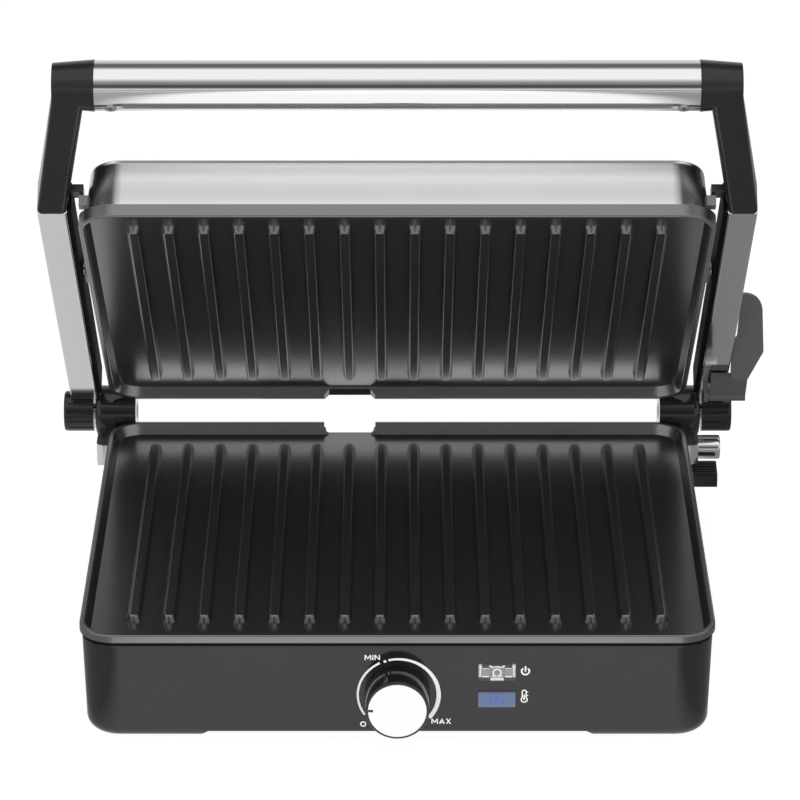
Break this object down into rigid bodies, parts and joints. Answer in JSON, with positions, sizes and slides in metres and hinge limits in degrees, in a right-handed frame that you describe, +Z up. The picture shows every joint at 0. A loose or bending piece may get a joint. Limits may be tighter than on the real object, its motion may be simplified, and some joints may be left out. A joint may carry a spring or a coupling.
{
  "type": "panini press",
  "caption": "Contact grill with ribbed plates, a floating lid on two hinged arms, a bar handle, a front dial with indicator lenses, and a rear drip tray.",
  "frame": {"origin": "on the surface the feet stand on, under the middle of the lower plate", "axes": "+Z up, -Y towards the dial on the front, +X to the right when seen from the front; the lid is stored part open"},
  "size_m": [0.3484, 0.2811, 0.2949],
  "materials": {
    "black_housing": "glossy black moulding",
    "under_cover": "matt black moulding",
    "foot_rubber": "matt rubber",
    "screw_steel": "plated steel",
    "pin_steel": "turned steel",
    "non_stick_plate": "dark non-stick coat on cast metal",
    "reflector_sheet": "bright rolled sheet",
    "heating_tube": "heat-darkened tube",
    "control_plastic": "heat-proof moulding",
    "board_green": "coated circuit board",
    "lamp_clear": "clear epoxy",
    "clear_lens": "clear moulded lens",
    "blue_lens": "tinted moulded lens",
    "hinge_metal": "satin cast metal",
    "arm_metal": "satin polished metal",
    "arm_black": "satin black moulding",
    "bar_chrome": "polished tube",
    "lid_steel": "brushed sheet",
    "knob_black": "glossy black moulding",
    "knob_pale": "spun metal disc",
    "lever_grey": "dark grey moulding",
    "button_chrome": "plated button",
    "latch_black": "ribbed moulding"
  },
  "bodies": {
    "base": {"housing": "black_housing", "bottom_cover": "under_cover", "bottom_screws": "screw_steel", "rubber_feet": "foot_rubber", "lower_plate": "non_stick_plate", "lower_reflector": "reflector_sheet", "lower_element": "heating_tube", "thermostat": "control_plastic", "power_lens": "clear_lens", "heat_lens": "blue_lens", "lamp_board": "board_green", "indicator_lamps": "lamp_clear", "cord_inlet": "under_cover", "hinge_tower_left": "black_housing", "hinge_tower_right": "black_housing", "tower_screws": "screw_steel", "hinge_pin_left": "pin_steel", "hinge_pin_right": "pin_steel", "hinge_cheek_left": "hinge_metal", "hinge_cheek_right": "hinge_metal"},
    "arms": {"arm_left": "arm_metal", "arm_right": "arm_metal", "arm_liner_left": "arm_black", "arm_liner_right": "arm_black", "hinge_drum_left": "arm_black", "hinge_drum_right": "arm_black", "elbow_left": "arm_black", "elbow_right": "arm_black", "handle_bar": "bar_chrome", "handle_screws": "screw_steel", "lid_pivot_pins": "pin_steel", "stop_pins": "pin_steel", "lever_bracket": "hinge_metal", "lever_axle": "pin_steel"},
    "lid": {"lid_shell": "lid_steel", "upper_plate": "non_stick_plate", "upper_reflector": "reflector_sheet", "upper_element": "heating_tube", "pivot_bracket_left": "hinge_metal", "pivot_bracket_right": "hinge_metal", "stop_lug_left": "hinge_metal", "stop_lug_right": "hinge_metal"},
    "dial": {"knob": "knob_black", "knob_face": "knob_pale", "knob_shaft": "pin_steel"},
    "lever": {"release_lever": "lever_grey"},
    "button": {"release_button": "button_chrome"},
    "latch": {"plate_latch": "latch_black"},
    "tray": {"drip_tray": "under_cover"}
  },
  "joints": [
    {"name": "arm_hinge", "type": "hinge", "parent": "base", "child": "arms", "pos_m": [0, 0.1332, 0.0539], "axis": [-1, 0, 0], "range_deg": [-43.4, 131.6]},
    {"name": "lid_tilt", "type": "hinge", "parent": "arms", "child": "lid", "pos_m": [0, 0.03659, 0.16918], "axis": [1, 0, 0], "range_deg": [0, 8]},
    {"name": "dial_turn", "type": "hinge", "parent": "base", "child": "dial", "pos_m": [0, -0.119, 0.0236], "axis": [0, 1, 0], "range_deg": [-39, 215]},
    {"name": "lever_press", "type": "hinge", "parent": "arms", "child": "lever", "pos_m": [0, 0.10962, 0.07262], "axis": [1, 0, 0], "range_deg": [0, 15], "stiffness_Nm_per_rad": 0.4, "springref_deg": -5.73},
    {"name": "button_push", "type": "slide", "parent": "base", "child": "button", "axis": [-1, 0, 0], "range_m": [0, 0.0035], "stiffness_N_per_m": 400, "springref_m": -0.002},
    {"name": "latch_slide", "type": "slide", "parent": "base", "child": "latch", "axis": [0, -1, 0], "range_m": [0, 0.006], "stiffness_N_per_m": 300, "springref_m": -0.002},
    {"name": "tray_slide", "type": "slide", "parent": "base", "child": "tray", "axis": [0, -1, 0], "range_m": [-0.05, 0]}
  ]
}
